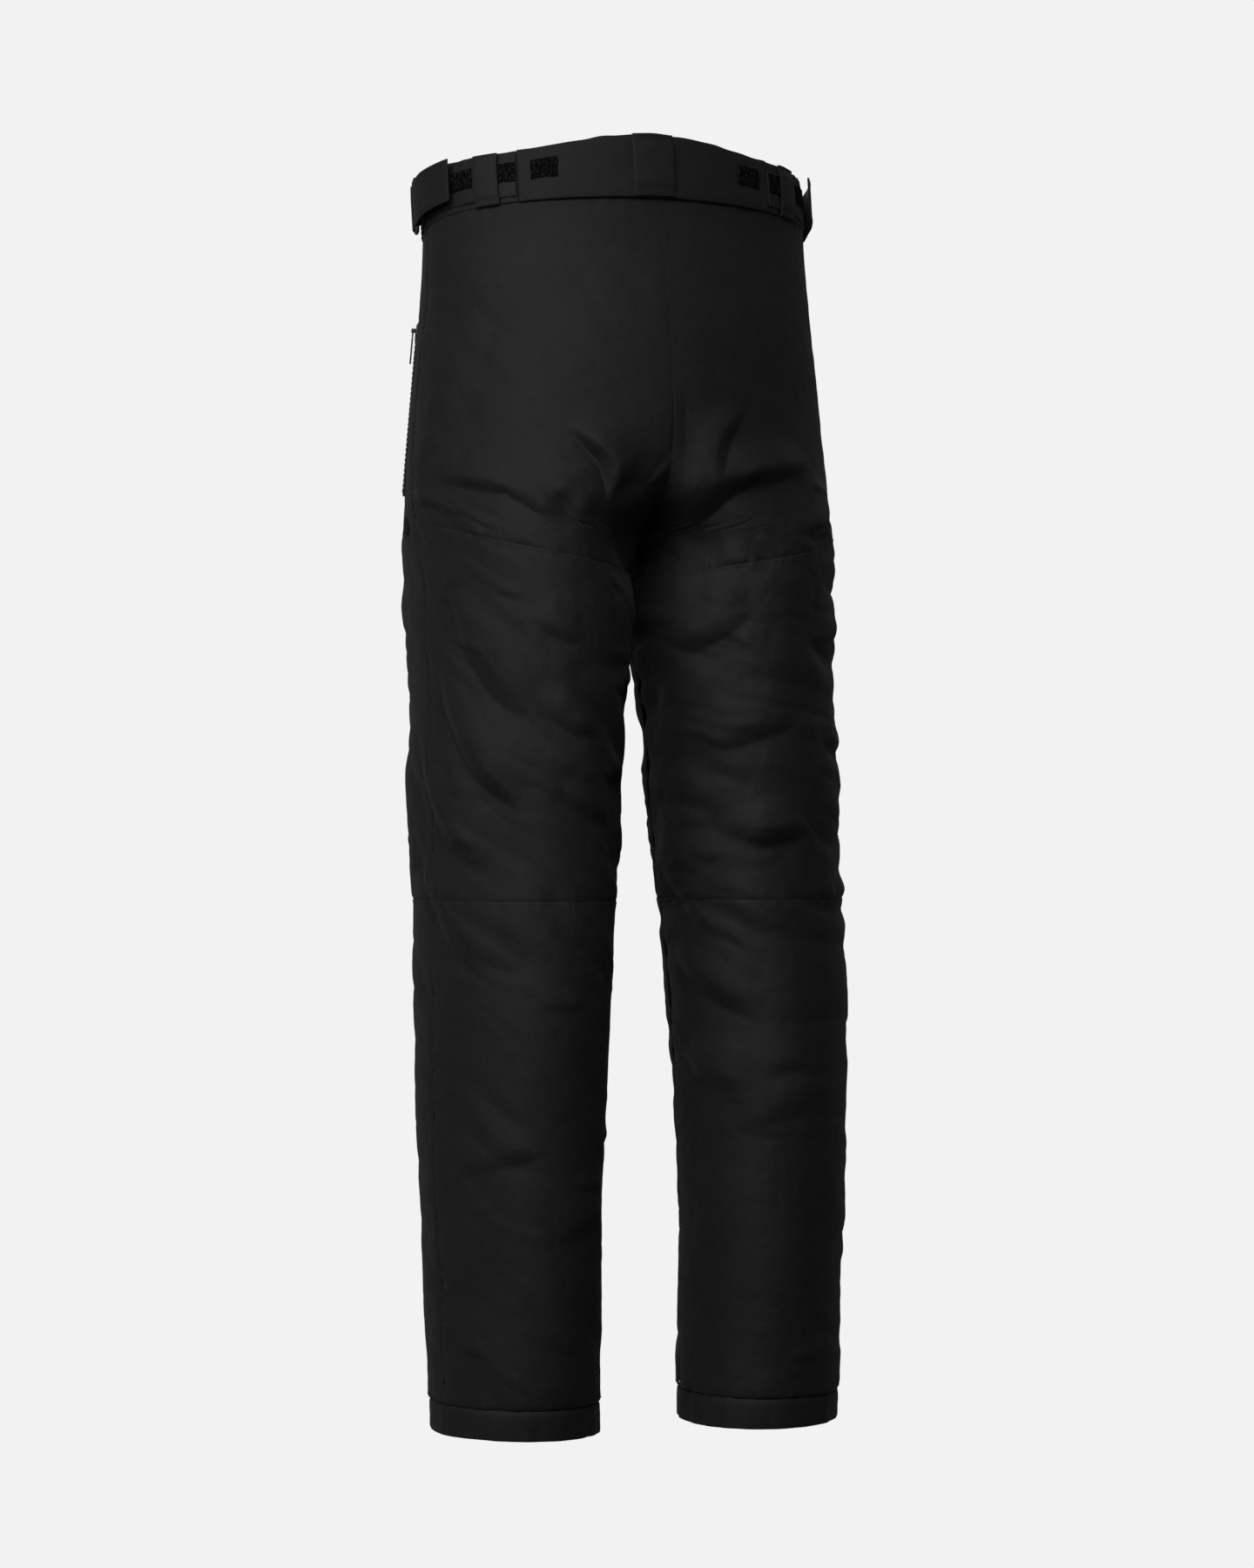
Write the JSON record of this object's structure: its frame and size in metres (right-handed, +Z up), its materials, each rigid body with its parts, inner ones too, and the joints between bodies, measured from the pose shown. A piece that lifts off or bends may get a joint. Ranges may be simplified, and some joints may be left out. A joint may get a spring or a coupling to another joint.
{
  "type": "ski trousers",
  "caption": "Insulated ski trousers in worn shape, with waist adjuster straps, belt loops, zipped fly and hand pockets, and snow gaiters.",
  "frame": {"origin": "middle of the waist opening, level with the waistband's top edge at the side seams", "axes": "+Z up towards the waist, +X towards the wearer's left, -Y towards the front"},
  "size_m": [0.3704, 0.2934, 1.0607],
  "materials": {
    "shell_fabric": "matt black plain-weave polyester shell with a water-repellent coat, lightly padded",
    "lining_fabric": "smooth black taffeta lining",
    "elastic": "ribbed black elastic",
    "hook_and_loop": "fuzzy black loop tape",
    "webbing": "black shell-fabric strap, edge stitched",
    "black_plastic": "glossy black moulded plastic",
    "zip_metal": "black coated die-cast metal"
  },
  "bodies": {
    "trousers": {"seat_panel_left": "shell_fabric", "seat_panel_right": "shell_fabric", "thigh_back_left": "shell_fabric", "thigh_back_right": "shell_fabric", "shin_back_left": "shell_fabric", "shin_back_right": "shell_fabric", "front_panel_left": "shell_fabric", "front_panel_right": "shell_fabric", "shin_front_left": "shell_fabric", "shin_front_right": "shell_fabric", "hem_left": "shell_fabric", "hem_right": "shell_fabric", "lining_left": "lining_fabric", "lining_right": "lining_fabric", "snow_gaiter_left": "lining_fabric", "snow_gaiter_right": "lining_fabric", "gaiter_elastic_left": "elastic", "gaiter_elastic_right": "elastic", "pocket_bag_left": "lining_fabric", "pocket_bag_right": "lining_fabric", "waistband_side_left": "shell_fabric", "waistband_side_right": "shell_fabric", "waistband_front_left": "shell_fabric", "waistband_front_right": "shell_fabric", "waist_elastic_left": "elastic", "waist_elastic_right": "elastic", "belt_loop_side_left": "shell_fabric", "belt_loop_side_right": "shell_fabric", "belt_loop_front_left": "shell_fabric", "belt_loop_front_right": "shell_fabric", "loop_patches_left": "hook_and_loop", "loop_patches_right": "hook_and_loop", "adjuster_strap_left": "webbing", "adjuster_strap_right": "webbing", "ring_anchor_left": "webbing", "ring_anchor_right": "webbing", "pocket_zip_left": "black_plastic", "pocket_zip_right": "black_plastic", "waistband_back": "shell_fabric", "waistband_facing": "lining_fabric", "belt_loop_back": "shell_fabric", "snap_stud": "zip_metal", "fly_zip": "black_plastic", "fly_placket": "shell_fabric", "side_tag": "webbing"},
    "fly_slider": {"fly_slider": "zip_metal", "fly_pull": "black_plastic"},
    "closure": {"closure_tab": "shell_fabric", "snap_cap": "zip_metal"},
    "pocket_slider_left": {"pocket_slider_left": "zip_metal"},
    "pocket_pull_left": {"pocket_pull_left": "black_plastic"},
    "ring_left": {"adjuster_ring_left": "black_plastic"},
    "tab_left": {"adjuster_tab_left": "webbing"},
    "pocket_slider_right": {"pocket_slider_right": "zip_metal"},
    "pocket_pull_right": {"pocket_pull_right": "black_plastic"},
    "ring_right": {"adjuster_ring_right": "black_plastic"},
    "tab_right": {"adjuster_tab_right": "webbing"}
  },
  "joints": [
    {"name": "fly_slide", "type": "slide", "parent": "trousers", "child": "fly_slider", "axis": [0, -0.1188, -0.9929], "range_m": [0, 0.1149]},
    {"name": "pocket_slide_left", "type": "slide", "parent": "trousers", "child": "pocket_slider_left", "axis": [0.0722, -0.0577, -0.9957], "range_m": [0, 0.1256]},
    {"name": "pocket_pull_left_hinge", "type": "hinge", "parent": "pocket_slider_left", "child": "pocket_pull_left", "pos_m": [0.16738, -0.03539, -0.13011], "axis": [-0.2872, -0.9573, 0.0347], "range_deg": [0, 150]},
    {"name": "ring_left_hinge", "type": "hinge", "parent": "trousers", "child": "ring_left", "pos_m": [0.16917, -0.02428, -0.02854], "axis": [0, 0.1478, -0.989], "range_deg": [0, 40]},
    {"name": "tab_left_hinge", "type": "hinge", "parent": "ring_left", "child": "tab_left", "pos_m": [0.17127, -0.0126, -0.02679], "axis": [0, 0.1478, -0.989], "range_deg": [0, 110]},
    {"name": "pocket_slide_right", "type": "slide", "parent": "trousers", "child": "pocket_slider_right", "axis": [-0.0722, -0.0577, -0.9957], "range_m": [0, 0.1256]},
    {"name": "pocket_pull_right_hinge", "type": "hinge", "parent": "pocket_slider_right", "child": "pocket_pull_right", "pos_m": [-0.16738, -0.03539, -0.13011], "axis": [-0.2872, 0.9573, -0.0347], "range_deg": [0, 150]},
    {"name": "ring_right_hinge", "type": "hinge", "parent": "trousers", "child": "ring_right", "pos_m": [-0.16917, -0.02428, -0.02854], "axis": [0, -0.1478, 0.989], "range_deg": [0, 40]},
    {"name": "tab_right_hinge", "type": "hinge", "parent": "ring_right", "child": "tab_right", "pos_m": [-0.17127, -0.0126, -0.02679], "axis": [0, -0.1478, 0.989], "range_deg": [0, 110]},
    {"name": "closure_hinge", "type": "hinge", "parent": "trousers", "child": "closure", "pos_m": [0.04333, -0.11519, -0.04161], "axis": [0, -0.1478, 0.989], "range_deg": [0, 85]}
  ]
}
